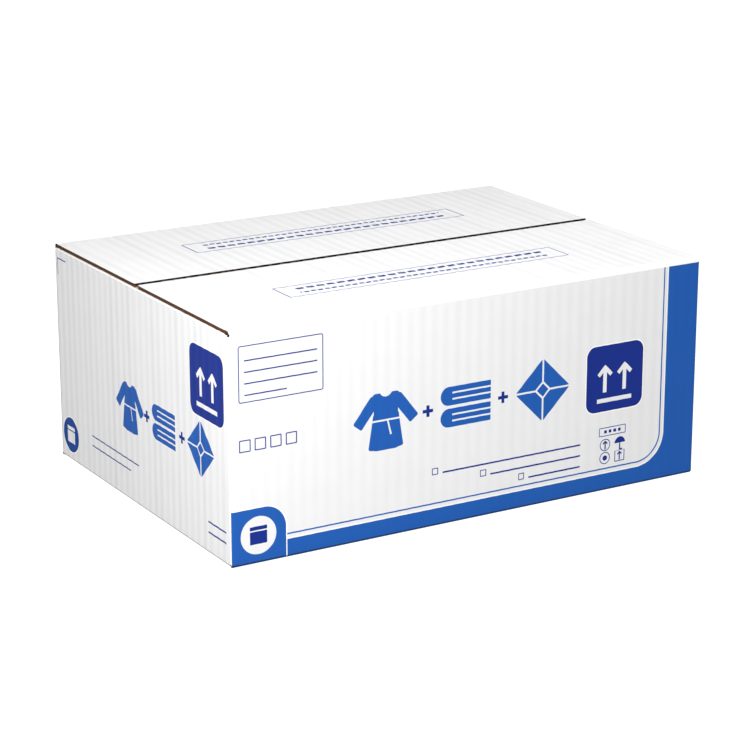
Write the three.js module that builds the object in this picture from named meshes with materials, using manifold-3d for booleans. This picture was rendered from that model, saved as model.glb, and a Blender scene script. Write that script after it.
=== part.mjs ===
// Regular slotted shipping carton of white corrugated board, closed, in millimetres.
// +X runs along its length, +Z is up, the front long wall faces -Y.
// The origin lies on the floor under the middle of the carton.
import * as THREE from 'three';
import { mergeVertices } from 'three/addons/utils/BufferGeometryUtils.js';
import Module from 'manifold-3d';

// Driving dimensions
const cartonLength = 560;      // outside, along X
const cartonWidth = 405;       // outside, along Y
const cartonHeight = 240;      // outside, along Z
const boardThickness = 4;      // single-wall board
const clearance = 0.3;         // air between neighbouring pieces
const uprightRadius = 3;       // outside radius of the upright creases
const topSeamGap = 4.5;        // between the two outer top flaps
const bottomSeamGap = 3;       // between the two outer bottom flaps
const slotWidth = 5;           // cut between an inner flap and the long wall beside it
const glueFlapWidth = 36;      // lap of the glued joint, inside the back wall
const glueFlapTaper = 12;      // slant of the lap's two ends
const footSetBack = 2;         // of a long wall's rolled foot from the end walls' faces
const footFlat = 2.5;          // flat of an end wall's rolled foot, beside its round
const stepRun = 3;             // run of the step from that foot up onto the outer flaps
const stepLean = 2;            // shift of the step's upper face, which keeps the board's thickness
const arcSteps = 8;            // straight facets in each rounded crease

// Levels and reaches that follow from them
const halfLength = cartonLength / 2;
const halfWidth = cartonWidth / 2;
const outerFlapUnderside = cartonHeight - boardThickness;
const longWallTop = outerFlapUnderside - clearance;
const innerFlapUnderside = longWallTop - boardThickness;
const endWallTop = innerFlapUnderside - clearance;
const wallFoot = boardThickness + clearance;
const endWallHalf = halfWidth - boardThickness - clearance;
const innerFlapHalf = endWallHalf + clearance - slotWidth;
const innerFlapEdge = -halfLength + halfWidth;             // inner flaps are as deep as the outer ones
const longHinge = -halfWidth + boardThickness;             // centre line of a long wall's creases
const endHinge = -halfLength + boardThickness + clearance; // line that an inner top flap turns on
const footEnd = endHinge - clearance + footFlat;
const stepEnd = footEnd + stepRun;
const topFlapHalf = halfLength - clearance;
const rolledFootHalf = halfLength - footSetBack;
const bottomFlapHalf = -stepEnd - clearance;

const alongX = new THREE.Vector3(1, 0, 0);
const alongY = new THREE.Vector3(0, 1, 0);
const alongZ = new THREE.Vector3(0, 0, 1);
const againstY = new THREE.Vector3(0, -1, 0);

const wasm = await Module();
wasm.setup();

function boardMaterial(colour, roughness) {
  return new THREE.MeshStandardMaterial({ color: colour, roughness, metalness: 0 });
}

const coatedBoard = () => boardMaterial(0xf4f4f2, 0.55);   // white clay-coated outside
const kraftBoard = () => boardMaterial(0xa98560, 0.9);     // bare brown kraft

// Closed outline from [x, y] corners, in order
function outline(corners) {
  const shape = new THREE.Shape();
  corners.forEach(([x, y], index) => {
    if (index === 0) shape.moveTo(x, y);
    else shape.lineTo(x, y);
  });
  shape.closePath();
  return shape;
}

// Corners on an arc about a centre, both ends included
function arc(centreX, centreY, radius, fromAngle, toAngle) {
  const corners = [];
  for (let step = 0; step <= arcSteps; step += 1) {
    const angle = fromAngle + (toAngle - fromAngle) * step / arcSteps;
    corners.push([centreX + radius * Math.cos(angle), centreY + radius * Math.sin(angle)]);
  }
  return corners;
}

// Quarter round of a crease, from the wall's outer face to the flap's outer face.
// upward is 1 at the top of a wall and -1 at its foot.
function creaseRound(hinge, level, upward) {
  return arc(hinge, level, boardThickness, Math.PI, Math.PI - upward * Math.PI / 2);
}

// An outline pulled straight by a length
function extruded(corners, length) {
  return new THREE.ExtrudeGeometry(outline(corners), { depth: length, bevelEnabled: false });
}

// A named piece: a geometry laid along three world axes from a starting point
function placedPiece(name, geometry, material, axes, start) {
  const piece = new THREE.Mesh(geometry, material);
  piece.name = name;
  piece.quaternion.setFromRotationMatrix(new THREE.Matrix4().makeBasis(...axes));
  piece.position.set(...start);
  return piece;
}

// A closed geometry as a solid that can be cut
function solidFrom(geometry) {
  const bare = geometry.clone();
  bare.deleteAttribute('normal');
  bare.deleteAttribute('uv');
  const merged = mergeVertices(bare);
  return new wasm.Manifold(new wasm.Mesh({
    numProp: 3,
    vertProperties: merged.attributes.position.array,
    triVerts: merged.index.array,
  }));
}

function geometryFrom(solid) {
  const mesh = solid.getMesh();
  const geometry = new THREE.BufferGeometry();
  geometry.setAttribute('position', new THREE.BufferAttribute(mesh.vertProperties, 3));
  geometry.setIndex(new THREE.BufferAttribute(mesh.triVerts, 1));
  geometry.computeVertexNormals();
  return geometry;
}

// Long wall at -Y: a plank with its two upright outer edges rounded by the creases
function longWall(name) {
  const inset = halfLength - uprightRadius;
  const arcLevel = -halfWidth + uprightRadius;
  const corners = [
    ...arc(-inset, arcLevel, uprightRadius, Math.PI, 1.5 * Math.PI),
    ...arc(inset, arcLevel, uprightRadius, 1.5 * Math.PI, 2 * Math.PI),
    [halfLength, longHinge],
    [-halfLength, longHinge],
  ];
  const geometry = extruded(corners, longWallTop - wallFoot);
  return placedPiece(name, geometry, coatedBoard(), [alongX, alongY, alongZ], [0, 0, wallFoot]);
}

// Outer flap's outline in Y and Z, from its crease on the long wall at -Y to the seam
function outerFlapCorners(innerLevel, seamGap, upward) {
  const outerLevel = innerLevel + upward * boardThickness;
  return [
    ...creaseRound(longHinge, innerLevel, upward),
    [-seamGap / 2, outerLevel],
    [-seamGap / 2, innerLevel],
  ];
}

// Outer top flap: over the end walls, flush with their faces
function outerTopFlap(name) {
  const corners = outerFlapCorners(outerFlapUnderside, topSeamGap, 1);
  const geometry = extruded(corners, 2 * topFlapHalf);
  return placedPiece(name, geometry, coatedBoard(), [alongY, alongZ, alongX], [-topFlapHalf, 0, 0]);
}

// Outer bottom flap: its crease runs the full length, and the flap behind it lies between
// the end walls' rolled feet
function outerBottomFlap(name) {
  const corners = outerFlapCorners(boardThickness, bottomSeamGap, -1);
  let solid = solidFrom(extruded(corners, 2 * rolledFootHalf));
  const cut = 2 * (rolledFootHalf - bottomFlapHalf);
  for (const end of [0, 2 * rolledFootHalf]) {
    const notch = new THREE.BoxGeometry(halfWidth, 4 * boardThickness, cut);
    notch.translate(longHinge + halfWidth / 2, 0, end);
    solid = solid.subtract(solidFrom(notch));
  }
  const axes = [alongY, alongZ, alongX];
  return placedPiece(name, geometryFrom(solid), coatedBoard(), axes, [-rolledFootHalf, 0, 0]);
}

// End wall at -X, standing between the two long walls
function endWall(name) {
  const corners = [
    [-halfLength, -endWallHalf],
    [-halfLength + boardThickness, -endWallHalf],
    [-halfLength + boardThickness, endWallHalf],
    [-halfLength, endWallHalf],
  ];
  const geometry = extruded(corners, endWallTop - wallFoot);
  return placedPiece(name, geometry, coatedBoard(), [alongX, alongY, alongZ], [0, 0, wallFoot]);
}

// Inner top flap: its crease is rounded about the line that it turns on, just inside the wall
function innerTopFlap(name) {
  const corners = [
    ...creaseRound(endHinge, innerFlapUnderside, 1),
    [innerFlapEdge, longWallTop],
    [innerFlapEdge, innerFlapUnderside],
  ];
  const geometry = extruded(corners, 2 * innerFlapHalf);
  return placedPiece(name, geometry, coatedBoard(), [alongX, alongZ, againstY], [0, innerFlapHalf, 0]);
}

// Inner bottom flap: the end wall's crease rolls under to the floor, and the board then
// steps up onto the outer flaps
function innerBottomFlap(name) {
  const upperFace = wallFoot + boardThickness;
  const corners = [
    ...creaseRound(endHinge - clearance, boardThickness, -1),
    [footEnd, 0],
    [stepEnd, wallFoot],
    [innerFlapEdge, wallFoot],
    [innerFlapEdge, upperFace],
    [stepEnd - stepLean, upperFace],
    [footEnd - stepLean, boardThickness],
  ];
  const geometry = extruded(corners, 2 * innerFlapHalf);
  return placedPiece(name, geometry, coatedBoard(), [alongX, alongZ, againstY], [0, innerFlapHalf, 0]);
}

// Lap of the glued joint: a strip with slanted ends, glued inside the long wall at +Y
function glueFlap(name) {
  const nearEdge = -endHinge;
  const farEdge = nearEdge - glueFlapWidth;
  const corners = [
    [farEdge, wallFoot + glueFlapTaper],
    [nearEdge, wallFoot],
    [nearEdge, endWallTop],
    [farEdge, endWallTop - glueFlapTaper],
  ];
  const geometry = extruded(corners, boardThickness);
  return placedPiece(name, geometry, kraftBoard(), [alongX, alongZ, againstY], [0, endWallHalf, 0]);
}

// The three pieces folded from one long side; the back is the front turned half round
function longSide(side) {
  return [
    longWall(`panel_${side}`),
    outerTopFlap(`top_flap_${side}`),
    outerBottomFlap(`bottom_flap_${side}`),
  ];
}

// The three pieces folded from one end; the right end is the left end turned half round
function shortSide(side) {
  return [
    endWall(`panel_${side}`),
    innerTopFlap(`top_flap_${side}`),
    innerBottomFlap(`bottom_flap_${side}`),
  ];
}

const group = new THREE.Group();
const sides = [
  { name: 'front', build: longSide, turn: 0 },
  { name: 'back', build: longSide, turn: Math.PI },
  { name: 'left', build: shortSide, turn: 0 },
  { name: 'right', build: shortSide, turn: Math.PI },
];
for (const { name, build, turn } of sides) {
  const side = new THREE.Group();
  side.add(...build(name));
  side.rotation.z = turn;
  group.add(side);
}
group.add(glueFlap('glue_flap'));

export default group;
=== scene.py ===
import math

import bmesh
import bpy
from mathutils import Matrix, Vector


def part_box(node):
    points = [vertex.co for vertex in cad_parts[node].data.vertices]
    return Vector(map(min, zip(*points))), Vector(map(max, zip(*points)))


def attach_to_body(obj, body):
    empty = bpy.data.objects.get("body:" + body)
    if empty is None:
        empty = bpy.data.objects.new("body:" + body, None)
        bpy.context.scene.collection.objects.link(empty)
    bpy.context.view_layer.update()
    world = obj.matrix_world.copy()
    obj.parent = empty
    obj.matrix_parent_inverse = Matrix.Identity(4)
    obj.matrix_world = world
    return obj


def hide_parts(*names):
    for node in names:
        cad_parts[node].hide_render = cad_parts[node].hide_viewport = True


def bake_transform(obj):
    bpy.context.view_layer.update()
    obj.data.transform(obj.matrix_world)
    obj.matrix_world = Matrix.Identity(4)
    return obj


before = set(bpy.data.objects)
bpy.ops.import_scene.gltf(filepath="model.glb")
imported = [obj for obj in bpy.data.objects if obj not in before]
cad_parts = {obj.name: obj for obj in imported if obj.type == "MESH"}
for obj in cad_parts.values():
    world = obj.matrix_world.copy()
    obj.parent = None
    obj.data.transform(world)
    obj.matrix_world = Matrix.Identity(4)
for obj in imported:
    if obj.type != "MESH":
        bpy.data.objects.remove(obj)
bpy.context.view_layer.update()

# Closed white corrugated carton, in metres. Each side of the box is made as one folded board:
# a white outer liner, a kraft inner liner, and the fluted medium where its ends show.
# A side is built facing -Y and then turned to its place.

# Camera, floor and light

cameraSettings = {
    "turn": -30.7212,        # degrees round the box
    "rise": 16.9950,         # degrees above the floor
    "distance": 2.73113,
    "aside": 0.001421,
    "above": 0.096349,
    "lens": 119.947,
    "sensorWidth": 36,
}

studioSettings = {
    "floorSize": 40,
    "floorColour": "505050",
    "floorGlow": 1.12,
    "worldStrength": 0.02,
    "keyPlace": (-0.69, -0.62, 0.62),
    "keyAim": (-0.2, -0.15, 0.18),
    "keySize": 0.5,
    "keyPower": 7.2,
    "leftPlace": (-0.38, -0.4, 1.85),
    "leftAim": (-0.15, -0.05, 0.24),
    "leftSize": 0.5,
    "leftPower": 13.5,
    "rightPlace": (0.7, -0.5, 1.85),
    "rightAim": (0.1, 0, 0.24),
    "rightSize": 0.9,
    "rightPower": 23.4,
}


def hexLinear(code):
    # sRGB hex to a linear colour with alpha
    parts = [int(code[i:i + 2], 16) / 255 for i in (0, 2, 4)]
    return [p / 12.92 if p <= 0.04045 else ((p + 0.055) / 1.055) ** 2.4 for p in parts] + [1]


def addNode(tree, kind, settings=None, links=None):
    # adds a node; a setting goes to an input of that name or number, or else to the node itself,
    # and a link comes from a socket or from a node's first one
    node = tree.nodes.new(kind)
    for name, value in (settings or {}).items():
        if isinstance(name, str) and hasattr(node, name):
            setattr(node, name, value)
        else:
            node.inputs[name].default_value = value
    for name, source in (links or {}).items():
        socket = source.outputs[0] if isinstance(source, bpy.types.Node) else source
        tree.links.new(socket, node.inputs[name])
    return node


def newMaterial(name):
    material = bpy.data.materials.new(name)
    material.use_nodes = True
    tree = material.node_tree
    tree.nodes.clear()
    shader = addNode(tree, "ShaderNodeBsdfPrincipled")
    addNode(tree, "ShaderNodeOutputMaterial", links={"Surface": shader})
    return material, tree, shader


def finishSurface(tree, shader, colour, height, look):
    # gives the shader its colour and the settings of its look, with a fine relief from a height
    tree.links.new(colour, shader.inputs["Base Color"])
    shader.inputs["Roughness"].default_value = look["roughness"]
    shader.inputs["Specular IOR Level"].default_value = look["sheen"]
    bump = addNode(tree, "ShaderNodeBump", {"Strength": look["relief"], "Distance": look["reliefHeight"] / 1000},
                   {"Height": height})
    tree.links.new(bump.outputs[0], shader.inputs["Normal"])


def clearSelection():
    if bpy.context.object and bpy.context.object.mode != "OBJECT":
        bpy.ops.object.mode_set(mode="OBJECT")
    bpy.ops.object.select_all(action="DESELECT")


def selectOnly(piece):
    clearSelection()
    piece.select_set(True)
    bpy.context.view_layer.objects.active = piece


def aimLight(name, place, aim, size, power):
    clearSelection()
    bpy.ops.object.light_add(type="AREA", location=place)
    light = bpy.context.object
    light.name = name
    light.data.shape = "DISK"
    light.data.size = size
    light.data.energy = power
    way = [a - p for a, p in zip(aim, place)]
    flat = math.hypot(way[0], way[1])
    light.rotation_euler = (math.atan2(flat, -way[2]), 0, math.atan2(way[1], way[0]) - math.pi / 2)
    light.visible_camera = False


def makeCamera():
    c = cameraSettings
    turn, rise = math.radians(c["turn"]), math.radians(c["rise"])
    back = (math.sin(turn) * math.cos(rise), -math.cos(turn) * math.cos(rise), math.sin(rise))
    right = (math.cos(turn), math.sin(turn), 0)
    up = (-math.sin(turn) * math.sin(rise), math.cos(turn) * math.sin(rise), math.cos(rise))
    place = [back[i] * c["distance"] + right[i] * c["aside"] + up[i] * c["above"] for i in range(3)]
    clearSelection()
    bpy.ops.object.camera_add(location=place, rotation=(math.pi / 2 - rise, 0, turn))
    camera = bpy.context.object
    camera.data.sensor_width = c["sensorWidth"]
    camera.data.lens = c["lens"]
    camera.data.clip_end = 60
    bpy.context.scene.camera = camera


def makeStudio():
    s = studioSettings
    scene = bpy.context.scene
    scene.view_settings.view_transform = "Standard"
    world = bpy.data.worlds.new("studioWorld")
    world.use_nodes = True
    world.node_tree.nodes["Background"].inputs["Color"].default_value = (1, 1, 1, 1)
    world.node_tree.nodes["Background"].inputs["Strength"].default_value = s["worldStrength"]
    scene.world = world

    clearSelection()
    bpy.ops.mesh.primitive_plane_add(size=s["floorSize"], location=(0, 0, 0))
    floor = bpy.context.object
    floor.name = "studioFloor"
    # pale paper sweep, lit through from below so that it stays white up to the box
    material, tree, shader = newMaterial("paperSweep")
    shader.inputs["Base Color"].default_value = hexLinear(s["floorColour"])
    shader.inputs["Roughness"].default_value = 0.9
    shader.inputs["Specular IOR Level"].default_value = 0
    shader.inputs["Emission Color"].default_value = (1, 1, 1, 1)
    shader.inputs["Emission Strength"].default_value = s["floorGlow"]
    floor.data.materials.append(material)

    aimLight("keySoftbox", s["keyPlace"], s["keyAim"], s["keySize"], s["keyPower"])
    aimLight("topLeftSoftbox", s["leftPlace"], s["leftAim"], s["leftSize"], s["leftPower"])
    aimLight("topRightSoftbox", s["rightPlace"], s["rightAim"], s["rightSize"], s["rightPower"])


makeCamera()
makeStudio()
print("camera, floor and light are ready")

# The print, drawn in millimetres on the flat blank
# A shape is (centre across, centre up, half width, half height, corner radius, turn in degrees).
# A disc is a square with corners as large as its half width.

inkColours = {
    "blue": "235AAB",
    "navy": "1B3085",
    "deepBlue": "0E4391",
    "cream": "FFFBF2",
}

haloWidth = 1.1          # of unprinted cream round an ink
inkSoftness = 0.2        # of an ink's edge
unrepeated = 5e5         # far beyond the sheet, so that a shape doesn't repeat that way


def gownMark(x, y, k):
    # a gown spread flat: body, flared skirt, two sleeves; then neck and belt in white
    filled = [
        (0, -4, 14, 28, 3, 0), (-10.5, -13, 7, 18.5, 2, -9), (10.5, -13, 7, 18.5, 2, 9),
        (-22.5, 9, 6, 17, 2, -38), (22.5, 9, 6, 17, 2, 38), (0, 21, 16.5, 6.5, 5, 0),
    ]
    cleared = [(0, 31, 7.5, 7.5, 7.5, 0), (0, -1, 17, 0.8, 0, 0), (4, -9, 0.8, 8, 0, 14)]
    return movedShapes(filled, x, y, k), movedShapes(cleared, x, y, k)


def towelMark(x, y, k):
    # two folded towels in a stack, with their folds at the left and three layers showing at the right
    filled = [shape for level in (-11.5, 11.5) for shape in
              ((0, level, 30, 9.8, 9.8, 0), (11, level, 19, 9.8, 0.8, 0))]
    cleared = [(9, level, 25, 0.8, 0, 0) for level in (-14.8, -8.2, 8.2, 14.8)]
    return movedShapes(filled, x, y, k), movedShapes(cleared, x, y, k)


def wrapMark(x, y, k):
    # a square wrap folded to its middle
    filled = [(0, 0, 24, 24, 3, 45)]
    cleared = [(0, 0, 34, 0.9, 0, 0), (0, 0, 0.9, 34, 0, 0), (0, 0, 7, 7, 1.5, 45)]
    return movedShapes(filled, x, y, k), movedShapes(cleared, x, y, k)


def movedShapes(shapes, x, y, k):
    return [(x + cx * k, y + cy * k, hx * k, hy * k, r * k, turn) for cx, cy, hx, hy, r, turn in shapes]


def upArrow(x, y, k):
    # a stem under an open head
    return movedShapes([(0, -5, 2.1, 13, 0, 0), (-3.5, 5.4, 6.6, 2.1, 0, 45), (3.5, 5.4, 6.6, 2.1, 0, -45)], x, y, k)


def plusSign(x, y):
    return [(x, y, 6, 1.7, 0, 0), (x, y, 1.7, 6, 0, 0)]


def frameOf(x, y, hx, hy, corner, line):
    # the outside and the inside of an outlined box
    return (x, y, hx, hy, corner, 0), (x, y, hx - line, hy - line, max(corner - line, 0), 0)


longMarks = [gownMark(-106, 125, 1), towelMark(-12, 125, 1), wrapMark(82, 125, 1)]
longFrames = [
    frameOf(-223.5, 195.5, 46.5, 28.5, 2.5, 1.1),
    *[frameOf(x, 123.5, 6.2, 6.2, 1, 1.2) for x in (-264, -247, -230, -213)],
    *[frameOf(x, y, 3.6, 3.6, 0.6, 1.0) for x, y in ((-48, 59.5), (10, 47.5), (57, 35.5))],
    frameOf(172, 66, 17, 4.8, 0.8, 0.9), frameOf(163, 51.5, 6.6, 6.6, 6.6, 1.0),
    frameOf(163, 37, 6.6, 6.6, 6.6, 1.0), frameOf(182, 37, 6.4, 6.4, 0.8, 1.0),
]

# a blue border along the foot and the right end, with a fine line beside it, and a tab under the disc
longWallPrint = [
    {"ink": "blue", "halo": True, "within": (20.3, 115, 299.7, 120, 0, 0), "shapes": [(0, 120, 320, 140, 0, 0)]},
    {"ink": None, "halo": True, "shapes": [(-46, 160.5, 284, 139.5, 34, 0)]},
    {"ink": "blue", "within": (20.3, 115, 299.7, 120, 0, 0), "shapes": [(-46, 160.5, 280.4, 135.9, 30.4, 0)]},
    {"ink": None, "shapes": [(-46, 160.5, 278.8, 134.3, 28.8, 0)]},
    {"ink": "blue", "halo": True, "within": (20.3, 115, 299.7, 120, 0, 0), "shapes": [(-270, 8, 50, 50, 24, 0)]},
    {"ink": "navy", "halo": True, "shapes": [(173, 125, 36, 36, 11, 0)]},
    {"ink": "blue", "shapes": [shape for mark in longMarks for shape in mark[0]]},
    {"ink": "navy", "shapes": [
        *[pair[0] for pair in longFrames], (182, 51, 6.8, 6.8, 6.8, 0),
        (46, 57, 85, 0.8, 0, 0), (75, 45, 56, 0.8, 0, 0), (98.5, 33, 32.5, 0.8, 0, 0),
        *plusSign(-57, 125), *plusSign(33, 125),
    ]},
    {"ink": None, "shapes": [
        *[pair[1] for pair in longFrames], (182, 47, 8, 4, 0, 0), (-250.5, 30, 19.5, 19.5, 19.5, 0),
        (173, 101, 22, 2.2, 0, 0), *upArrow(160.5, 128, 1), *upArrow(185.5, 128, 1),
        *[shape for mark in longMarks for shape in mark[1]],
    ]},
    {"ink": "navy", "shapes": [
        (-223.5, 209, 40, 0.6, 0, 0), (-223.5, 197.5, 40, 0.6, 0, 0), (-223.5, 186, 40, 0.6, 0, 0),
        (-240.5, 174.5, 23, 0.6, 0, 0),
        *[(x, 66, 1.6, 1.6, 0.3, 0) for x in (163, 169, 175, 181)],
        (182, 48, 0.7, 4.5, 0, 0), (183.6, 43.9, 1.8, 0.7, 0.3, 0),
        *upArrow(163, 52.5, 0.33), (163, 37, 2.8, 2.8, 2.8, 0), *upArrow(182, 38, 0.33),
    ]},
    {"ink": "navy", "shapes": [(-250.5, 27.5, 9.5, 6.5, 0.8, 0), (-250.5, 37.4, 9.5, 1.9, 0.5, 0)]},
    {"ink": "blue", "shapes": [(82, 125, 5, 5, 1, 45)]},
]

endMarks = [gownMark(-22, 105, 0.88), towelMark(57, 105, 0.88), wrapMark(139, 105, 0.88)]
endWallPrint = [
    {"ink": "navy", "halo": True, "shapes": [(154.5, 175, 36, 36, 11, 0)]},
    {"ink": "deepBlue", "halo": True, "shapes": [(-175.5, 30, 19.5, 19.5, 19.5, 0)]},
    {"ink": "navy", "shapes": [
        (-185, 225, 10.5, 0.55, 0, 0), (-195, 216, 0.55, 9.5, 0, 0),
        (-62, 45, 58, 0.6, 0, 0), (-72, 34, 48, 0.6, 0, 0),
        (172, 34, 19, 0.8, 0, 0), (172, 23, 19, 0.8, 0, 0), *plusSign(18, 105), *plusSign(98, 105),
    ]},
    {"ink": "blue", "shapes": [shape for mark in endMarks for shape in mark[0]]},
    {"ink": None, "shapes": [
        (-175.5, 27.5, 9.5, 6.5, 0.8, 0), (-175.5, 37.4, 9.5, 1.9, 0.5, 0),
        (154.5, 151, 22, 2.2, 0, 0), *upArrow(142, 178, 1), *upArrow(167, 178, 1),
        *[shape for mark in endMarks for shape in mark[1]],
    ]},
    {"ink": "blue", "shapes": [(139, 105, 4.4, 4.4, 1, 45)]},
]

# the frame on each outer top flap, with two dashed lines where the tape goes
topFlapPrint = [
    {"ink": "navy", "shapes": [(-1, 336.8, 168, 19.5, 1, 0)]},
    {"ink": None, "shapes": [(-1, 336.8, 166.7, 18.2, 0.4, 0)]},
    {"ink": "navy", "within": (-1, 336.8, 150, 19, 0, 0), "shapes": [
        {"every": 12, "box": (0, 344, 4.4, 2.6, 0.8, 0)}, {"every": 8, "box": (0, 329.5, 2.8, 1.9, 0.6, 0)},
    ]},
]


def shapeDistance(tree, place, shape):
    # distance in millimetres from a rounded box, zero or less inside it
    if isinstance(shape, dict):
        # a box that repeats across the sheet, and not up it
        high = (shape["every"] / 2, unrepeated, unrepeated)
        low = tuple(-reach for reach in high)
        place = addNode(tree, "ShaderNodeVectorMath", {"operation": "WRAP", 1: high, 2: low}, {0: place})
        shape = shape["box"]
    cx, cy, hx, hy, corner, turn = shape
    spot = addNode(tree, "ShaderNodeVectorMath", {"operation": "SUBTRACT", 1: (cx, cy, 0)}, {0: place})
    if turn:
        spot = addNode(tree, "ShaderNodeVectorRotate", {"rotation_type": "Z_AXIS",
                       "Angle": math.radians(-turn)}, {"Vector": spot})
    spot = addNode(tree, "ShaderNodeVectorMath", {"operation": "ABSOLUTE"}, {0: spot})
    inner = (hx - corner, hy - corner, 1)
    spot = addNode(tree, "ShaderNodeVectorMath", {"operation": "SUBTRACT", 1: inner}, {0: spot})
    spot = addNode(tree, "ShaderNodeVectorMath", {"operation": "MAXIMUM"}, {0: spot})
    spot = addNode(tree, "ShaderNodeVectorMath", {"operation": "LENGTH"}, {0: spot})
    return addNode(tree, "ShaderNodeMath", {"operation": "SUBTRACT", 1: corner}, {0: spot.outputs["Value"]})


def printedColour(tree, place, paper, layers):
    # the sheet's colour with each layer of ink laid over it in turn
    colour = paper
    for layer in layers:
        distance = None
        for shape in layer["shapes"]:
            own = shapeDistance(tree, place, shape)
            distance = own if distance is None else addNode(
                tree, "ShaderNodeMath", {"operation": "MINIMUM"}, {0: distance, 1: own})
        if "within" in layer:
            border = shapeDistance(tree, place, layer["within"])
            distance = addNode(tree, "ShaderNodeMath", {"operation": "MAXIMUM"}, {0: distance, 1: border})
        coats = [("cream", haloWidth)] if layer.get("halo") else []
        coats.append((layer["ink"], 0))
        for ink, reach in coats:
            mask = addNode(tree, "ShaderNodeMapRange", {"From Min": reach + inkSoftness, "From Max": reach},
                           {"Value": distance})
            mix = addNode(tree, "ShaderNodeMix", {"data_type": "RGBA"}, {0: mask, 6: colour})
            if ink:
                mix.inputs[7].default_value = hexLinear(inkColours[ink])
            else:
                tree.links.new(paper, mix.inputs[7])
            colour = mix.outputs[2]
    return colour


# The board and its two kinds of side

boardSettings = {
    "liner": 0.00035,        # thickness of a liner
    "medium": 0.00025,       # thickness of the fluted medium
    "board": 0.004,
    "ribDepth": 0.0003,      # how far the liner sinks between two flutes
    "ribSteps": 10,
    "fluteSteps": 14,
    "fade": 0.005,           # the ribs die out this far from a crease
    "ribsAtSeam": 0.25,      # share of their depth that is left at a free edge
    "bead": 0.0015,          # radius of the ridge inside a crease
    "creaseLean": 0.0017,    # height over which a wall leans in to its top crease
    "liningRow": 0.006,      # first row of the lining past a crease
    "footRow": 0.02,         # and above the foot; the bottom flaps lie lower than this
    "stepLean": 0.002,       # shift of the step's upper face, which keeps the board's thickness
    "edgeDepth": 0.0012,     # how deep the crushed edge reaches into the board
    "slotDepth": 0.0014,     # how far the cut edge goes on into the slot
    "ragged": 0.00008,       # how far a cut edge wavers
    "wavesAlong": 5200,      # radians to the metre, along a cut edge and up it
    "wavesUp": 3100,
    "cornerInset": 0.0006,   # how far the lining stops short of the outer liner at a corner
    "cutInset": 0.0001,      # and at a cut
    "edgeInset": 0.00005,    # the same for the crushed edges, at their own side
    "edgeShort": 0.0003,     # and at the flap's free edge
    "topFlutes": (0.008, 0.0002),      # how far the fluting keeps from the crease and the free edge
    "bottomFlutes": (0.006, 0.0006),
    "bottomEdges": 0.002,    # how far the lower crushed edges keep from the crease
    "flutePlay": 0.00003,    # air between a flute and a liner
}

# Both kinds of side, facing -Y. Places are given as (distance from the middle, height), half widths
# by what they end: the wall, its flaps, its shoulder under the top crease, and its foot's corners.
# There is one rib to each flute. The shoulder reaches a little below and above topCentre, and the
# foot's cut is a share of its round.
# The outer liner bends about topCentre and the board's hinge is at hinge.
# Along a long side's score the board is crushed, and the inner liner dips to the outer one.
longSide = {
    "wallFace": 0.2025, "footCentre": (0.1985, 0.004),
    "topCentre": (0.1985, 0.236), "topRadius": 0.004, "creaseHighlight": 4.6, "hinge": (0.1985, 0.236),
    "step": None, "bottomEnd": 0.0015, "topEnd": 0.0037,
    "halfWall": 0.28, "halfTop": 0.2790, "halfShoulder": 0.2784, "shoulder": (0.0018, 0.0012),
    "halfCorner": 0.2796, "halfCrease": 0.278, "halfBottom": 0.2702,
    "cornerRound": 0.003, "footCut": 0.16, "ribs": 41,
    "blendStart": (0.20051, 0.23799), "blendEnd": (0.20049, 0.23801),
    "score": ((0.1985, 0.2320), (0.20104, 0.23844), (0.20094, 0.23854), (0.1945, 0.2360)),
    "wallFinish": "longWall", "topFinish": "topFlap", "bottomFinish": "longPlain",
}
shortSide = {
    "wallFace": 0.28, "footCentre": (0.276, 0.004),
    "topCentre": (0.2785, 0.2342), "topRadius": 0.0015, "creaseHighlight": 1.4, "hinge": (0.2757, 0.2317),
    "step": (0.2735, 0.2705, 0.0043), "bottomEnd": 0.0775, "topEnd": 0.0775,
    "halfWall": 0.1995, "halfTop": 0.1935, "halfCorner": 0.1985, "halfCrease": 0.1935, "halfBottom": 0.1935,
    "cornerRound": 0, "footCut": 0.16, "ribs": 29,
    "bent": 0.82,            # share of the top crease's round that it has beside a slot too
    "blendStart": (0.2772, 0.2302), "blendEnd": (0.2742, 0.2332),
    "wallFinish": "endWall", "topFinish": "endPlain", "bottomFinish": "endPlain",
}

# Materials

paperSettings = {
    "white": "E6E6E6",
    "mottle": "E4E4E5",
    # painted highlight: the paper is drawn brighter along its creases and corners
    "paintedHighlight": "FDFDFD",
    # painted shade along the bottom crease and under the seam
    "paintedShade": "8C8A88",
    "roughness": 0.5,
    "sheen": 0.03,
    "relief": 0.35,
    "reliefHeight": 0.012,   # mm
    "fibreSize": 0.9,        # mm; real fibres are finer, drawn as coarse as they need to show
    "cloudSize": 35,         # mm
    "cloudTone": {"From Min": 0.35, "From Max": 0.7},
    "streakWidth": 26,       # mm across the flutes
    "streakLength": 600,     # mm along them
    "streakSpan": {"From Min": 0.3, "From Max": 0.7},
    "ribShadeWeak": 0.25,      # least and most of the painted shade between the flutes, times its side's own
    "ribShadeStrong": 1.9,
    "footHighlight": 2.6,      # mm of painted highlight either side of the foot's crease, and of an upright one
    "cornerHighlight": 1.5,
    "highlightEdge": {"From Max": -0.5},    # mm over which it comes up
    # mm up the blank: where the painted shade along the foot starts, and where it ends under the box, all but a
    # little
    "paintedShadeAbove": {"From Min": 3.6, "From Max": 2.4},
    "paintedShadeBelow": {"From Min": -7, "From Max": -2, "To Min": 0.12},
    # painted shade on the inner flaps under the seam
    "seamShade": {"From Min": 5, "From Max": 3, "To Max": 0.65},    # mm from the seam
    "seamShadeFrom": 1.3,         # it starts this many quarter rounds past the crease's centre
}


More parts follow.
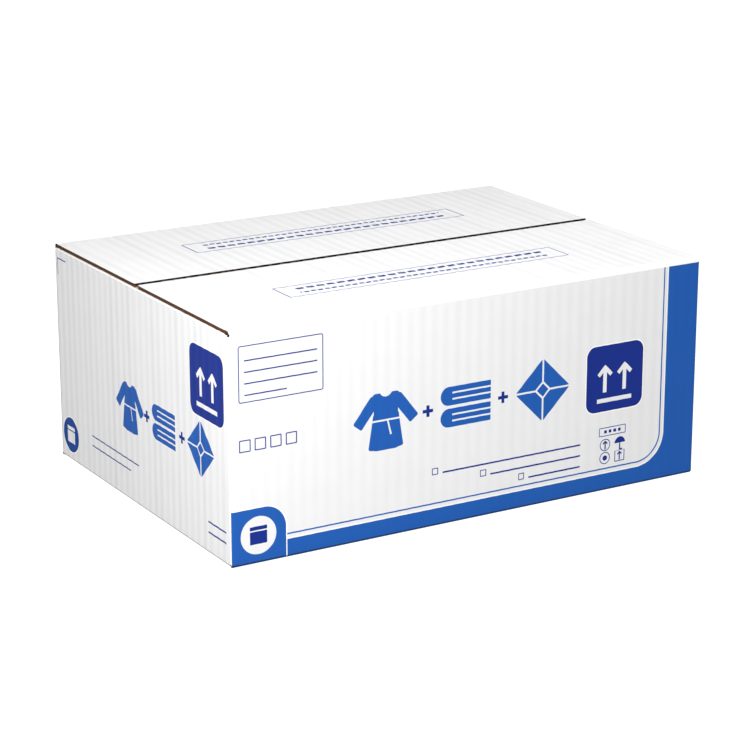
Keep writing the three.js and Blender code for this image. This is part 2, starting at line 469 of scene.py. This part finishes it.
def clayCoatedLiner(name, layers, kind, ribShade, seamShaded=False):
    # white top liner: kraft paper with a calendered clay coat, smooth and nearly matte, flexo printed.
    # It is faintly cloudy, with painted shade between the flutes, a painted highlight where it is
    # creased, and painted shade along the bottom crease; an end flap's has painted shade under the seam.
    p = paperSettings
    material, tree, shader = newMaterial(name)
    blank = addNode(tree, "ShaderNodeUVMap", {"uv_map": "blank"})
    place = addNode(tree, "ShaderNodeVectorMath", {"operation": "SCALE", "Scale": 1000}, {0: blank})
    parts = addNode(tree, "ShaderNodeSeparateXYZ", links={0: place})
    cloud = addNode(tree, "ShaderNodeTexNoise", {"Scale": 1 / p["cloudSize"], "Detail": 3}, {"Vector": place})
    fibre = addNode(tree, "ShaderNodeTexNoise", {"Scale": 1 / p["fibreSize"], "Detail": 2}, {"Vector": place})
    tone = addNode(tree, "ShaderNodeMapRange", p["cloudTone"], {"Value": cloud})
    paper = addNode(tree, "ShaderNodeMix", {"data_type": "RGBA", 6: hexLinear(p["white"]),
                    7: hexLinear(p["mottle"])}, {0: tone})

    # painted highlight: how far outside the nearest crease, in millimetres, from half the arc of each round
    quarter = boardSettings["board"] * 500 * math.pi / 2
    topQuarter = kind["topRadius"] * 500 * math.pi / 2
    distance = None
    for part, crease, reach in ((1, kind["footCentre"][1] * 1000 - quarter, p["footHighlight"]),
                                (1, kind["topCentre"][1] * 1000 + topQuarter, kind["creaseHighlight"]),
                                (0, kind["halfWall"] * 1000, p["cornerHighlight"])):
        own = addNode(tree, "ShaderNodeMath", {"operation": "ABSOLUTE"}, {0: parts.outputs[part]})
        own = addNode(tree, "ShaderNodeMath", {"operation": "SUBTRACT", 1: crease}, {0: own})
        own = addNode(tree, "ShaderNodeMath", {"operation": "ABSOLUTE"}, {0: own})
        own = addNode(tree, "ShaderNodeMath", {"operation": "SUBTRACT", 1: reach}, {0: own})
        distance = own if distance is None else addNode(
            tree, "ShaderNodeMath", {"operation": "MINIMUM"}, {0: distance, 1: own})
    highlightMask = addNode(tree, "ShaderNodeMapRange", p["highlightEdge"], {"Value": distance})
    paper = addNode(tree, "ShaderNodeMix", {"data_type": "RGBA", 7: hexLinear(p["paintedHighlight"])},
                    {0: highlightMask, 6: paper.outputs[2]})
    colour = printedColour(tree, place, paper.outputs[2], layers)

    # painted shade along the bottom crease, a thin dark line at the foot
    paintedShade = addNode(tree, "ShaderNodeMapRange", p["paintedShadeAbove"], {"Value": parts.outputs[1]})
    under = addNode(tree, "ShaderNodeMapRange", p["paintedShadeBelow"], {"Value": parts.outputs[1]})
    paintedShade = addNode(tree, "ShaderNodeMath", {"operation": "MINIMUM"}, {0: paintedShade, 1: under})
    if seamShaded:
        # painted shade along the middle of the inner flap, where it lies under the seam
        middle = addNode(tree, "ShaderNodeMath", {"operation": "ABSOLUTE"}, {0: parts})
        seamShade = addNode(tree, "ShaderNodeMapRange", p["seamShade"], {"Value": middle})
        flapFrom = kind["topCentre"][1] * 1000 + p["seamShadeFrom"] * topQuarter
        onFlap = addNode(tree, "ShaderNodeMath", {"operation": "GREATER_THAN", 1: flapFrom}, {0: parts.outputs[1]})
        seamShade = addNode(tree, "ShaderNodeMath", {"operation": "MULTIPLY"}, {0: seamShade, 1: onFlap})
        paintedShade = addNode(tree, "ShaderNodeMath", {"operation": "MAXIMUM"}, {0: paintedShade, 1: seamShade})
    shadedColour = addNode(tree, "ShaderNodeMix", {"data_type": "RGBA", "blend_type": "MULTIPLY", 7: hexLinear(p["paintedShade"])},
                   {0: paintedShade, 6: colour})
    # painted shade in bands one rib apart, stronger in some streaks than in others
    stretched = addNode(tree, "ShaderNodeVectorMath", {"operation": "MULTIPLY",
                        1: (1 / p["streakWidth"], 1 / p["streakLength"], 1)}, {0: place})
    streak = addNode(tree, "ShaderNodeTexNoise", {"Scale": 1, "Detail": 2}, {"Vector": stretched})
    weakToStrong = {"To Min": p["ribShadeWeak"] * ribShade, "To Max": p["ribShadeStrong"] * ribShade}
    strength = addNode(tree, "ShaderNodeMapRange", {**p["streakSpan"], **weakToStrong}, {"Value": streak})
    ribAngle = 2 * math.pi * kind["ribs"] / kind["halfWall"] / 2000    # radians to the millimetre
    wave = addNode(tree, "ShaderNodeMath", {"operation": "MULTIPLY", 1: ribAngle}, {0: parts})
    wave = addNode(tree, "ShaderNodeMath", {"operation": "COSINE"}, {0: wave})
    wave = addNode(tree, "ShaderNodeMath", {"operation": "SUBTRACT", 1: 1}, {0: wave})
    ribShadeFactor = addNode(tree, "ShaderNodeMath", {"operation": "MULTIPLY_ADD", 2: 1}, {0: wave, 1: strength})
    ribShaded = addNode(tree, "ShaderNodeVectorMath", {"operation": "SCALE"}, {0: shadedColour.outputs[2], "Scale": ribShadeFactor})
    finishSurface(tree, shader, ribShaded.outputs[0], fibre, p)
    return material


kraftSettings = {
    "light": "B08C64",
    "dark": "94714C",
    "mediumShadedLight": "63401F",   # painted shade: the medium is drawn far darker than the liner, for the shade in the flutes where its ends show
    "mediumShadedDark": "25160B",
    "fleck": "6E4F33",
    "roughness": 0.9,
    "sheen": 0.2,
    "relief": 0.5,
    "reliefHeight": 0.05,    # mm
    "fibreLength": 6,        # mm, along the machine direction
    "fibreWidth": 0.7,       # mm, drawn wider than real fibres so that they show
    "fibreTone": {"From Min": 0.3, "From Max": 0.7},
    "flecksToMillimetre": 0.22,
    "fleckTone": {"From Min": 0.16, "From Max": 0.08, "To Max": 0.6},    # share of the flecks' spacing
}


def kraftPaper(name, light, dark):
    # unbleached kraft: brown, fibrous along the web, fully matte
    k = kraftSettings
    material, tree, shader = newMaterial(name)
    blank = addNode(tree, "ShaderNodeUVMap", {"uv_map": "blank"})
    place = addNode(tree, "ShaderNodeVectorMath", {"operation": "SCALE", "Scale": 1000}, {0: blank})
    drawn = addNode(tree, "ShaderNodeVectorMath", {"operation": "MULTIPLY",
                   1: (1 / k["fibreLength"], 1 / k["fibreWidth"], 1)}, {0: place})
    fibre = addNode(tree, "ShaderNodeTexNoise", {"Scale": 1, "Detail": 4}, {"Vector": drawn})
    tone = addNode(tree, "ShaderNodeMapRange", k["fibreTone"], {"Value": fibre})
    body = addNode(tree, "ShaderNodeMix", {"data_type": "RGBA", 6: hexLinear(dark), 7: hexLinear(light)},
                   {0: tone})
    speck = addNode(tree, "ShaderNodeTexVoronoi", {"Scale": k["flecksToMillimetre"], "Randomness": 1},
                    {"Vector": place})
    near = addNode(tree, "ShaderNodeMapRange", k["fleckTone"], {"Value": speck.outputs["Distance"]})
    colour = addNode(tree, "ShaderNodeMix", {"data_type": "RGBA", 7: hexLinear(k["fleck"])},
                     {0: near, 6: body.outputs[2]})
    finishSurface(tree, shader, colour.outputs[2], fibre, k)
    return material


edgeSettings = {
    "light": "6E4C38",
    "dark": "3A2317",
    "seamShadedLight": "3A2618",   # painted shade: the edges that meet at the seam are drawn darker
    "seamShadedDark": "150D08",
    # painted shade in the end of the slot
    "slot": "120B08",
    "slotShadeSpan": {"From Min": 0.2388, "From Max": 0.2372},    # metres up the blank
    "roughness": 0.95,
    "sheen": 0.1,
    "relief": 0.6,
    "reliefHeight": 0.1,     # mm
    "streakEvery": 2.3,      # mm, from the cutting rule's teeth
    "streakTurn": (0.5, 0.5, 0.6),    # slants them across the edge
    "waveLength": 0.314,     # of a wave texture of scale 1
    "grainScale": 0.9,       # to the millimetre
    "grainTone": {"From Min": 0.05, "From Max": 0.5},
}


def dieCutEdge(name, light, dark):
    # edge of the board where the die crushed and cut it: dark brown, ragged, with slanted streaks
    e = edgeSettings
    material, tree, shader = newMaterial(name)
    place = addNode(tree, "ShaderNodeTexCoord")
    turned = addNode(tree, "ShaderNodeMapping", {"Rotation": e["streakTurn"], "Scale": (1000, 1000, 1000)},
                     {"Vector": place.outputs["Object"]})
    streak = addNode(tree, "ShaderNodeTexWave", {"Scale": e["waveLength"] / e["streakEvery"], "Distortion": 3,
                     "Detail": 2, "Detail Scale": 1.5}, {"Vector": turned})
    grain = addNode(tree, "ShaderNodeTexNoise", {"Scale": e["grainScale"], "Detail": 3}, {"Vector": turned})
    both = addNode(tree, "ShaderNodeMath", {"operation": "MULTIPLY"}, {0: streak.outputs[1], 1: grain})
    tone = addNode(tree, "ShaderNodeMapRange", e["grainTone"], {"Value": both})
    colour = addNode(tree, "ShaderNodeMix", {"data_type": "RGBA", 6: hexLinear(dark), 7: hexLinear(light)},
                     {0: tone})
    # painted shade: nearly black in the end of the slot, which the die leaves deep and narrow
    blank = addNode(tree, "ShaderNodeUVMap", {"uv_map": "blank"})
    along = addNode(tree, "ShaderNodeSeparateXYZ", links={0: blank})
    slotShadeMask = addNode(tree, "ShaderNodeMapRange", e["slotShadeSpan"], {"Value": along})
    colour = addNode(tree, "ShaderNodeMix", {"data_type": "RGBA", 7: hexLinear(e["slot"])},
                     {0: slotShadeMask, 6: colour.outputs[2]})
    finishSurface(tree, shader, colour.outputs[2], both, e)
    return material


finishes = {
    # the last number is the depth of the painted shade between the flutes on that side
    "longWall": clayCoatedLiner("clayCoatedLinerLongWall", longWallPrint, longSide, 0.008),
    "endWall": clayCoatedLiner("clayCoatedLinerEndWall", endWallPrint, shortSide, 0.034),
    "topFlap": clayCoatedLiner("clayCoatedLinerTopFlap", topFlapPrint, longSide, 0.029),
    "longPlain": clayCoatedLiner("clayCoatedLinerLongFlap", [], longSide, 0.014),
    "endPlain": clayCoatedLiner("clayCoatedLinerEndFlap", [], shortSide, 0.014, seamShaded=True),
    "kraft": kraftPaper("kraftLiner", kraftSettings["light"], kraftSettings["dark"]),
    "medium": kraftPaper("kraftMediumShaded", kraftSettings["mediumShadedLight"], kraftSettings["mediumShadedDark"]),
    "edge": dieCutEdge("dieCutBoardEdge", edgeSettings["light"], edgeSettings["dark"]),
    # a darker copy of the cut edge, painted shade for the seam
    "seamShadedEdge": dieCutEdge("dieCutSeamEdgeShaded", edgeSettings["seamShadedLight"], edgeSettings["seamShadedDark"]),
}
print("materials are ready")

# Folded board

sides = {
    "front": {"kind": longSide, "turn": 0, "body": "outer_flap_front"},
    "back": {"kind": longSide, "turn": 180, "body": "outer_flap_back"},
    "left": {"kind": shortSide, "turn": -90, "body": "inner_flap_left"},
    "right": {"kind": shortSide, "turn": 90, "body": "inner_flap_right"},
}


def pick(piece, test):
    # selects the points of a piece that a test picks; its edit mode is open
    shell = bmesh.from_edit_mesh(piece.data)
    for point in shell.verts:
        point.select_set(bool(test(point.co)))
    shell.select_flush(True)
    shell.select_flush(False)
    bmesh.update_edit_mesh(piece.data)


def coat(piece, *names):
    for name in names:
        piece.data.materials.append(finishes[name])


def ribPitch(kind):
    return 2 * kind["halfWall"] / kind["ribs"]


def addModifier(piece, kind, **settings):
    bpy.context.view_layer.objects.active = piece
    modifier = piece.modifiers.new(kind.title(), kind)
    for name, value in settings.items():
        setattr(modifier, name, value)
    bpy.ops.object.modifier_apply(modifier=modifier.name)


def foldedStrip(name, width, columns, start, path):
    # a flat strip along Y, carried on by straight runs and rounds; start is (from y, to y, height)
    fromY, toY, height = start
    clearSelection()
    bpy.ops.mesh.primitive_grid_add(x_subdivisions=columns, y_subdivisions=1, size=1,
                                    location=(0, (fromY + toY) / 2, height))
    piece = bpy.context.object
    piece.name = name
    piece.data.name = name
    piece.scale = (width, abs(toY - fromY), 1)
    bpy.ops.object.transform_apply(location=True, rotation=True, scale=True)
    bpy.ops.object.mode_set(mode="EDIT")
    bpy.ops.mesh.select_mode(type="VERT")
    pick(piece, lambda point: abs(point.y - toY) < 1e-7)
    for run in path:
        if "round" in run:
            y, z = run["round"]
            bpy.ops.mesh.spin(steps=run["steps"], angle=math.radians(run["angle"]), center=(0, y, z),
                              axis=(1, 0, 0))
        else:
            bpy.ops.mesh.extrude_region_move(TRANSFORM_OT_translate={"value": (0, *run["to"])})
    bpy.ops.mesh.select_all(action="SELECT")
    bpy.ops.mesh.remove_doubles(threshold=1e-7)
    bpy.ops.object.mode_set(mode="OBJECT")
    return piece


def outerPath(kind):
    # the outer liner from the bottom flap's free edge to the top flap's, in straight runs and rounds
    b = boardSettings
    footY, footZ = kind["footCentre"]
    topY, topZ = kind["topCentre"]
    fade = b["fade"]
    lean = b["creaseLean"]
    if kind["step"]:
        stepFoot, stepTop, stepHeight = kind["step"]
        start = (-kind["bottomEnd"], -stepTop + fade, stepHeight)
        flap = [{"to": (-fade, 0)}, {"to": (stepTop - stepFoot, -stepHeight)}, {"to": (stepFoot - footY, 0)}]
    else:
        start = (-kind["bottomEnd"], -footY + fade, 0)
        flap = [{"to": (-fade, 0)}]
    return start, flap + [
        {"round": (-footY, footZ), "angle": 90, "steps": 6},
        {"to": (0, fade)},
        {"to": (0, topZ - lean - fade - (footZ + fade))},
        {"to": (0, fade)},
        {"to": (kind["wallFace"] - topY - kind["topRadius"], lean)},
        {"round": (-topY, topZ), "angle": 90, "steps": 9},
        {"to": (fade, 0)},
        {"to": (topY - 2 * fade - kind["topEnd"], 0)},
        {"to": (fade, 0)},
    ]


def innerPath(kind):
    # the inner liner's kraft face, with a small ridge where each crease is pressed in
    b = boardSettings
    footY, footZ = kind["footCentre"]
    topY, topZ = kind["hinge"]
    bead = b["bead"]
    innerFace = kind["wallFace"] - b["board"]
    foot = {"round": (-innerFace, footZ), "angle": -90, "steps": 6}
    if kind["step"]:
        stepFoot, stepTop, stepHeight = kind["step"]
        start = (-kind["bottomEnd"], -stepTop - b["stepLean"], stepHeight + b["board"])
        steps = [{"to": (stepTop - stepFoot, -stepHeight)},
                 {"to": (-(innerFace - bead - stepFoot - b["stepLean"]), 0)}, foot,
                 {"to": (0, topZ - footZ - 2 * bead)},
                 {"to": (innerFace - topY, 0)},
                 {"round": (-topY, topZ), "angle": -90, "steps": 10}]
        reached = topY - bead
    else:
        score = kind["score"]
        start = (-kind["bottomEnd"], -innerFace + bead, b["board"])
        steps = [foot, {"to": (0, b["footRow"])}, {"to": (0, score[0][1] - footZ - bead - b["footRow"])}]
        steps += [{"to": (fromY - toY, toZ - fromZ)} for (fromY, fromZ), (toY, toZ) in zip(score, score[1:])]
        reached = score[-1][0]
    return start, steps + [{"to": (b["liningRow"], 0)}, {"to": (reached - b["liningRow"] - kind["topEnd"], 0)}]


def blankPlace(kind, x, y, z):
    # where a point of the folded board lies on the flat blank: up the wall is its height
    footY, footZ = kind["footCentre"]
    topY, topZ = kind["topCentre"]
    radius = boardSettings["board"]
    if z >= topZ and y > -topY:
        return x, topZ + kind["topRadius"] * math.pi / 2 + y + topY
    if z > topZ:
        return x, topZ + kind["topRadius"] * math.atan2(z - topZ, -topY - y)
    if y > -footY and z < boardSettings["footRow"]:
        return x, footZ - radius * math.pi / 2 - y - footY
    if z < footZ:
        return x, footZ - radius * math.atan2(footZ - z, -footY - y)
    return x, z


def liningPlace(kind, x, y, z):
    # the same for the inner liner, which runs straight on from the wall into each flap
    b = boardSettings
    footY, footZ = kind["footCentre"]
    hingeY, hingeZ = kind["hinge"]
    if z > hingeZ - 0.001 and y > -hingeY + b["bead"] - 1e-5:
        return x, hingeZ + y + hingeY
    if z < b["footRow"] and y > -footY + b["bead"] - 1e-5:
        return x, footZ - y - footY
    return x, z


def edgePlace(kind, x, y, z):
    # the same for a cut edge: along it, then across the board
    along = blankPlace(kind, x, y, z)[1]
    return along, z if y > -kind["topCentre"][0] else y


def layBlankMap(piece, findPlace):
    layer = piece.data.uv_layers.get("blank") or piece.data.uv_layers.new(name="blank")
    for loop in piece.data.loops:
        layer.data[loop.index].uv = findPlace(*piece.data.vertices[loop.vertex_index].co)


def sinkRibs(piece, kind):
    # the liner sinks a little between the flutes, except close to a crease
    b = boardSettings
    footY, footZ = kind["footCentre"]
    topY, topZ = kind["topCentre"]
    flapStart = kind["step"][1] if kind["step"] else footY
    for point in piece.data.vertices:
        co = point.co
        depth = b["ribDepth"] * (1 - math.cos(2 * math.pi * co.x / ribPitch(kind))) / 2
        if abs(co.y + kind["wallFace"]) < 1e-5 and footZ < co.z < topZ:
            co.y += depth * min(1, max(0, min(co.z - footZ, topZ - co.z) / b["fade"]))
        elif co.z > topZ and co.y > -topY:
            co.z -= depth * min(1, (co.y + topY) / b["fade"], (-kind["topEnd"] - co.y) / b["fade"] + b["ribsAtSeam"])
        elif co.z < footZ + 0.001 and co.y > -flapStart:
            co.z += depth * min(1, (co.y + flapStart) / b["fade"])


def repeatRibs(piece, kind):
    # a sheet one rib wide becomes one as wide as its wall
    addModifier(piece, "ARRAY", count=kind["ribs"], use_merge_vertices=True, merge_threshold=1e-6)
    piece.data.transform(Matrix.Translation((-(kind["ribs"] - 1) * ribPitch(kind) / 2, 0, 0)))


def trimBeyond(piece, inRegion, halfWidth):
    # cuts a region of a sheet off beyond a half width at both ends
    selectOnly(piece)
    bpy.ops.object.mode_set(mode="EDIT")
    for way in (-1, 1):
        bpy.ops.mesh.select_mode(type="FACE")
        shell = bmesh.from_edit_mesh(piece.data)
        for face in shell.faces:
            face.select_set(inRegion(face.calc_center_median()))
        bmesh.update_edit_mesh(piece.data)
        bpy.ops.mesh.bisect(plane_co=(way * halfWidth, 0, 0), plane_no=(1, 0, 0))
        bpy.ops.mesh.select_mode(type="FACE")
        shell = bmesh.from_edit_mesh(piece.data)
        for face in shell.faces:
            centre = face.calc_center_median()
            face.select_set(inRegion(centre) and centre.x * way > halfWidth)
        bmesh.update_edit_mesh(piece.data)
        bpy.ops.mesh.delete(type="FACE")
    bpy.ops.object.mode_set(mode="OBJECT")


def faceOutward(piece, isOutward):
    # makes a sheet's faces agree, then flips them all if the test face looks the wrong way
    selectOnly(piece)
    bpy.ops.object.mode_set(mode="EDIT")
    bpy.ops.mesh.select_all(action="SELECT")
    bpy.ops.mesh.remove_doubles(threshold=1e-6)
    bpy.ops.mesh.normals_make_consistent(inside=False)
    bpy.ops.object.mode_set(mode="OBJECT")
    largest = max(piece.data.polygons, key=lambda face: face.area)
    if not isOutward(largest):
        bpy.ops.object.mode_set(mode="EDIT")
        bpy.ops.mesh.select_all(action="SELECT")
        bpy.ops.mesh.flip_normals()
        bpy.ops.object.mode_set(mode="OBJECT")


def smoothFaces(piece, degrees=35):
    selectOnly(piece)
    bpy.ops.object.shade_smooth_by_angle(angle=math.radians(degrees))


def makeOuterLiner(name, kind):
    b = boardSettings
    footY, footZ = kind["footCentre"]
    topY, topZ = kind["topCentre"]
    piece = foldedStrip(name, ribPitch(kind), b["ribSteps"], *outerPath(kind))
    sinkRibs(piece, kind)
    repeatRibs(piece, kind)

    # beside a slot, the end wall's liner still bends most of the way over
    bent = kind.get("bent", 0) * kind["topRadius"]
    trimBeyond(piece, lambda c: c.z > topZ + bent, kind["halfTop"])
    if "shoulder" in kind:
        below, above = kind["shoulder"]
        trimBeyond(piece, lambda c: topZ - below < c.z < topZ + above and c.y < -topY, kind["halfShoulder"])
    trimBeyond(piece, lambda c: c.z < footZ and c.y < -footY, kind["halfCorner"])
    trimBeyond(piece, lambda c: c.z < footZ * kind["footCut"] and c.y < -footY, kind["halfCrease"])
    trimBeyond(piece, lambda c: c.z < footZ + 0.001 and c.y > -footY, kind["halfBottom"])

    # the folded corners: the wall's ends curl round on to the end walls
    radius = kind["cornerRound"]
    if radius:
        flat = kind["halfWall"] - radius
        for point in piece.data.vertices:
            co = point.co
            past = abs(co.x) - flat
            if past > 0 and co.z < topZ - 0.001 and co.y < -footY:
                angle = past / radius * math.pi / 2
                co.y += radius * (1 - math.cos(angle)) * (-footY - co.y) / b["board"]
                co.x = math.copysign(flat + radius * math.sin(angle), co.x)
    faceOutward(piece, lambda face: face.normal.y < -0.5 or face.normal.z * face.center.z > 0.1)

    coat(piece, kind["wallFinish"], kind["topFinish"], kind["bottomFinish"], "kraft", "edge", "seamShadedEdge")
    for face in piece.data.polygons:
        if face.center.z > topZ:
            face.material_index = 1
        elif face.center.z < footZ + 0.001 and face.center.y > -footY:
            face.material_index = 2
    addModifier(piece, "SOLIDIFY", thickness=b["liner"], offset=-1, material_offset=3,
                material_offset_rim=4, use_even_offset=True)
    # the flap's free edge at the seam takes the cut edge with painted shade
    for face in piece.data.polygons:
        if face.center.z > topZ and face.center.y > -kind["topEnd"] - 1e-5:
            face.material_index = 5
    layBlankMap(piece, lambda x, y, z: blankPlace(kind, x, y, z))
    smoothFaces(piece)
    return piece


def makeInnerLiner(name, kind):
    b = boardSettings
    footZ = kind["footCentre"][1]
    topZ = kind["hinge"][1]
    half = kind["halfWall"] - b["cornerInset"]
    piece = foldedStrip(name, 2 * half, 8, *innerPath(kind))
    flapFrom = -kind["wallFace"] + (b["board"] + 2e-4 if kind["step"] else 0)
    trimBeyond(piece, lambda c: c.z > topZ - b["bead"] and c.y > flapFrom, kind["halfTop"] - b["cutInset"])
    trimBeyond(piece, lambda c: c.z < footZ + 0.005 and c.y > -kind["wallFace"] + b["board"] + 1e-4,
               kind["halfBottom"] - b["cutInset"])
    faceOutward(piece, lambda face: face.normal.y > 0.5)
    coat(piece, "kraft", "edge")
    addModifier(piece, "SOLIDIFY", thickness=b["liner"], offset=-1, material_offset_rim=1, use_even_offset=True)
    layBlankMap(piece, lambda x, y, z: liningPlace(kind, x, y, z))
    smoothFaces(piece)
    return piece


def makeFluting(name, kind, halfWidth, fromY, toY, height):
    # the wavy medium between the liners, one wave to a rib
    b = boardSettings
    piece = foldedStrip(name, ribPitch(kind), b["fluteSteps"], (fromY, toY, height), [])
    wave = (b["board"] - 2 * b["liner"] - b["medium"]) / 2 - b["flutePlay"]
    way = 1 if height > kind["hinge"][1] else -1
    for point in piece.data.vertices:
        point.co.z += way * wave * math.cos(2 * math.pi * point.co.x / ribPitch(kind))
    repeatRibs(piece, kind)
    trimBeyond(piece, lambda c: True, halfWidth - b["edgeDepth"])
    faceOutward(piece, lambda face: face.normal.z > 0)
    coat(piece, "medium")
    addModifier(piece, "SOLIDIFY", thickness=b["medium"], offset=0)
    layBlankMap(piece, lambda x, y, z: (x, y))
    smoothFaces(piece)
    return piece


def makeCutEdges(name, kind, halfWidth, start, path):
    # the crushed side edges of a flap, both of them
    b = boardSettings
    piece = foldedStrip(name, b["edgeDepth"], 2, start, path)
    piece.data.transform(Matrix.Translation((halfWidth - b["edgeDepth"] / 2, 0, 0)))
    faceOutward(piece, lambda face: face.normal.z > 0)
    coat(piece, "edge")
    addModifier(piece, "SOLIDIFY", thickness=b["board"] - 2 * b["liner"], offset=0, use_even_offset=True)
    for point in piece.data.vertices:
        # the outermost face is a little ragged
        if point.co.x > halfWidth - 1e-5:
            angle = point.co.y * b["wavesAlong"] + point.co.z * b["wavesUp"]
            point.co.x -= b["ragged"] * (1 + math.sin(angle))
    addModifier(piece, "MIRROR", use_axis=(True, False, False), use_mirror_merge=False)
    layBlankMap(piece, lambda x, y, z: edgePlace(kind, x, y, z))
    smoothFaces(piece)
    return piece


def makeSide(side, kind):
    b = boardSettings
    topY, topZ = kind["hinge"]
    topMid = topZ + b["board"] / 2
    bottomMid = (kind["step"][2] if kind["step"] else 0) + b["board"] / 2
    bottomFrom = -(kind["step"][1] if kind["step"] else kind["footCentre"][0])
    topFrom, topShort = b["topFlutes"]
    lowFrom, lowShort = b["bottomFlutes"]
    return {
        "OuterLiner": makeOuterLiner(side + "OuterLiner", kind),
        "InnerLiner": makeInnerLiner(side + "InnerLiner", kind),
        "TopFluting": makeFluting(side + "TopFluting", kind, kind["halfTop"],
                                  -topY + topFrom, -kind["topEnd"] - topShort, topMid),
        "BottomFluting": makeFluting(side + "BottomFluting", kind, kind["halfBottom"],
                                     bottomFrom + lowFrom, -kind["bottomEnd"] - lowShort, bottomMid),
        # from the flap's free edge back to the crease, round it and into the end of the slot
        "TopEdges": makeCutEdges(side + "TopEdges", kind, kind["halfTop"] - b["edgeInset"],
                                 (-kind["topEnd"] - b["edgeShort"], -topY, topMid),
                                 [{"round": (-topY, topZ), "angle": -90, "steps": 9},
                                  {"to": (0, -b["slotDepth"])}]),
        "BottomEdges": makeCutEdges(side + "BottomEdges", kind, kind["halfBottom"] - b["edgeInset"],
                                    (-kind["bottomEnd"] - b["edgeShort"], bottomFrom + b["bottomEdges"], bottomMid),
                                    []),
    }


def settle(piece, degrees):
    # turns a finished piece to its side of the box and leaves its object at the origin
    selectOnly(piece)
    piece.rotation_euler = (0, 0, math.radians(degrees))
    bpy.ops.object.transform_apply(location=True, rotation=True, scale=True)


def attach(side, pieces):
    # ties the fluting and bottom edges of a side to the bodies that they move with, and leaves the liners and top
    # edges in place
    s = sides[side]
    for part, piece in pieces.items():
        if part in ("OuterLiner", "InnerLiner", "TopEdges"):
            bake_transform(piece)
        elif part == "TopFluting":
            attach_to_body(piece, s["body"])
        else:
            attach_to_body(piece, "carton")
    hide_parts("panel_" + side, "top_flap_" + side, "bottom_flap_" + side)


made = {}
for first, second in (("front", "back"), ("left", "right")):
    made[first] = makeSide(first, sides[first]["kind"])
    made[second] = {}
    for part, piece in made[first].items():
        twin = piece.copy()
        twin.data = piece.data.copy()
        twin.name = twin.data.name = second + part
        bpy.context.scene.collection.objects.link(twin)
        made[second][part] = twin
    print(first, "and", second, "boards are modelled")

for side, pieces in made.items():
    for piece in pieces.values():
        settle(piece, sides[side]["turn"])
    attach(side, pieces)

# The glued joint at the back wall's right end: the lap inside, and the wall's raw edge outside

lapSettings = {"bevel": 0.0004, "taper": 0.012}


def makeGlueLap():
    low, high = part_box("glue_flap")
    middle = (low + high) / 2
    clearSelection()
    bpy.ops.mesh.primitive_grid_add(x_subdivisions=4, y_subdivisions=6, size=1,
                                    location=middle, rotation=(math.pi / 2, 0, 0))
    piece = bpy.context.object
    piece.name = piece.data.name = "glueLap"
    piece.scale = (high.x - low.x, high.z - low.z, 1)
    bpy.ops.object.transform_apply(location=True, rotation=True, scale=True)
    for point in piece.data.vertices:
        # both ends slant towards the free edge
        slant = lapSettings["taper"] * (high.x - point.co.x) / (high.x - low.x)
        reach = (point.co.z - middle.z) / (high.z - middle.z)
        point.co.z -= slant * reach
    coat(piece, "kraft", "edge")
    addModifier(piece, "SOLIDIFY", thickness=high.y - low.y, offset=0, material_offset_rim=1)
    addModifier(piece, "BEVEL", width=lapSettings["bevel"], segments=2, limit_method="ANGLE")
    layBlankMap(piece, lambda x, y, z: (z, x))
    smoothFaces(piece)
    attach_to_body(piece, "carton")
    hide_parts("glue_flap")


jointEdgeSettings = {
    "from": 0.2771, "to": 0.27993, "face": 0.20247, "low": 0.0046, "high": 0.2353,
    "thickness": 0.0037, "waves": 2900, "mapFrom": 0.262, "mapUp": 0.3,
}


def makeJointEdge():
    # the back wall isn't folded at the joint, so it ends there in a square cut edge
    j = jointEdgeSettings
    clearSelection()
    bpy.ops.mesh.primitive_grid_add(
        x_subdivisions=2, y_subdivisions=40, size=1, rotation=(-math.pi / 2, 0, 0),
        location=((j["from"] + j["to"]) / 2, j["face"], (j["low"] + j["high"]) / 2))
    piece = bpy.context.object
    piece.name = piece.data.name = "jointRawEdge"
    piece.scale = (j["to"] - j["from"], j["high"] - j["low"], 1)
    bpy.ops.object.transform_apply(location=True, rotation=True, scale=True)
    coat(piece, "longPlain", "kraft", "edge")
    faceOutward(piece, lambda face: face.normal.y > 0)
    addModifier(piece, "SOLIDIFY", thickness=j["thickness"], offset=-1, material_offset=1, material_offset_rim=2)
    for point in piece.data.vertices:
        # a little ragged
        if point.co.x > j["to"] - 1e-6:
            point.co.x -= boardSettings["ragged"] * (1 + math.sin(point.co.z * j["waves"]))
    # the outer face lies on the blank like the wall, and the cut edge reads past the painted shade at the slot's end
    layBlankMap(piece, lambda x, y, z: (x, z) if y > j["face"] - 1e-5 else
                (j["mapFrom"] + x - j["from"], z + j["mapUp"]))
    smoothFaces(piece)
    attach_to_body(piece, "carton")


makeGlueLap()
makeJointEdge()
print("glued joint is modelled")
